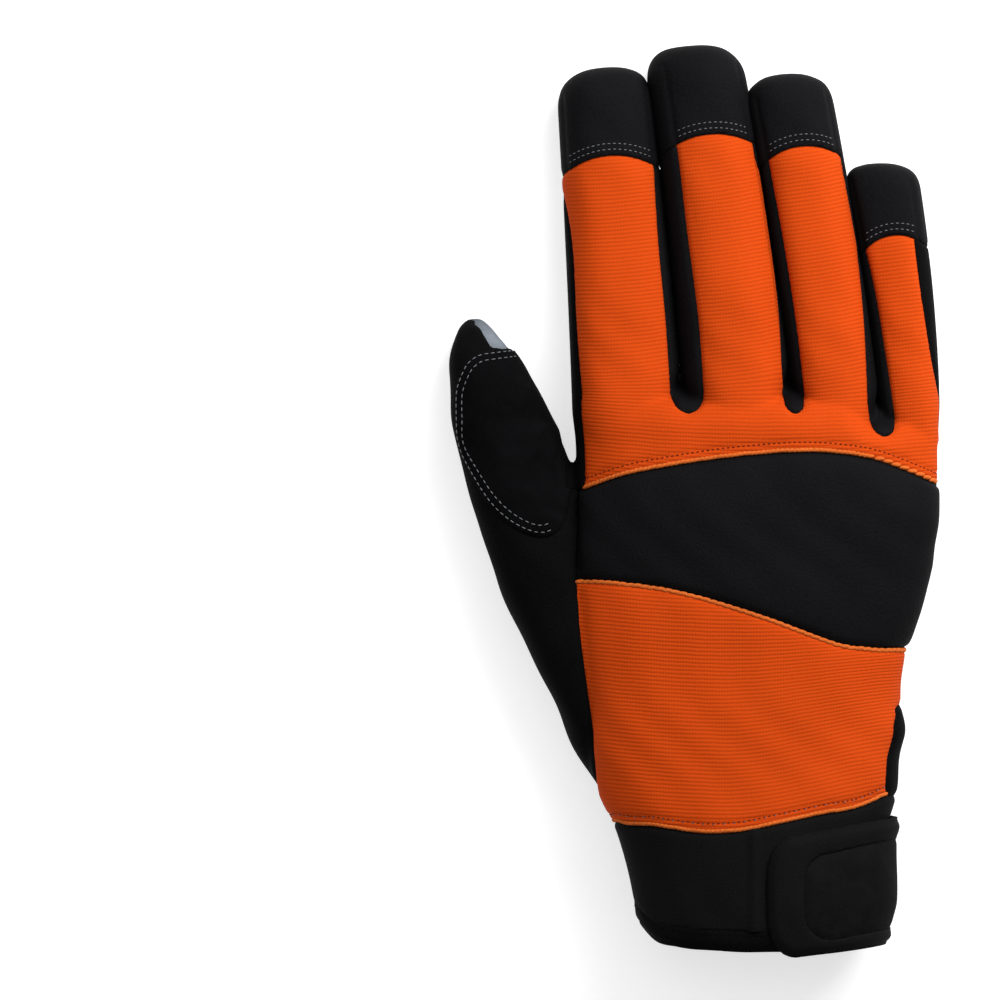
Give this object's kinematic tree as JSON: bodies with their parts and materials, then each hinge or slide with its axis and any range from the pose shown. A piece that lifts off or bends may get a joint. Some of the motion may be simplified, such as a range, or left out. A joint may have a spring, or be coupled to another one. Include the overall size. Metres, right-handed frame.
{
  "type": "mechanic glove",
  "caption": "Cut-and-sewn work glove with a knit back, smooth knuckle panel, suede palm with grip patches, fingertip caps, a soft cuff and a wrist strap.",
  "frame": {"origin": "centre of the bounding box at its bottom, on the surface that the glove rests on, palm down", "axes": "+Y towards the fingertips, +Z out of the back of the hand, +X towards the little finger"},
  "size_m": [0.1342, 0.2484, 0.0466],
  "materials": {
    "orange_knit": "ribbed knit, matte",
    "black_cloth": "smooth woven, matte",
    "black_suede": "napped suede",
    "grey_suede": "napped suede, mottled",
    "black_grip": "smooth synthetic leather",
    "neoprene": "jersey-faced foam, matte",
    "strap_panel": "brushed, matte"
  },
  "bodies": {
    "root": {"back_panel_upper": "orange_knit", "back_panel_lower": "orange_knit", "knuckle_pad": "black_cloth", "fingertip_cap_index": "black_cloth", "fingertip_cap_middle": "black_cloth", "fingertip_cap_ring": "black_cloth", "fingertip_cap_little": "black_cloth", "side_wall_index": "black_cloth", "fourchette_index_middle": "black_cloth", "fourchette_middle_ring": "black_cloth", "fourchette_ring_little": "black_cloth", "side_wall_little": "black_cloth", "thumb_back": "black_cloth", "thumb_patch": "black_suede", "palm_leather": "grey_suede", "palm_patch_upper": "black_grip", "palm_patch_lower": "black_grip", "cuff_band": "neoprene", "cuff_binding": "black_cloth", "wrist_strap": "strap_panel", "strap_binding": "black_cloth"}
  },
  "joints": []
}
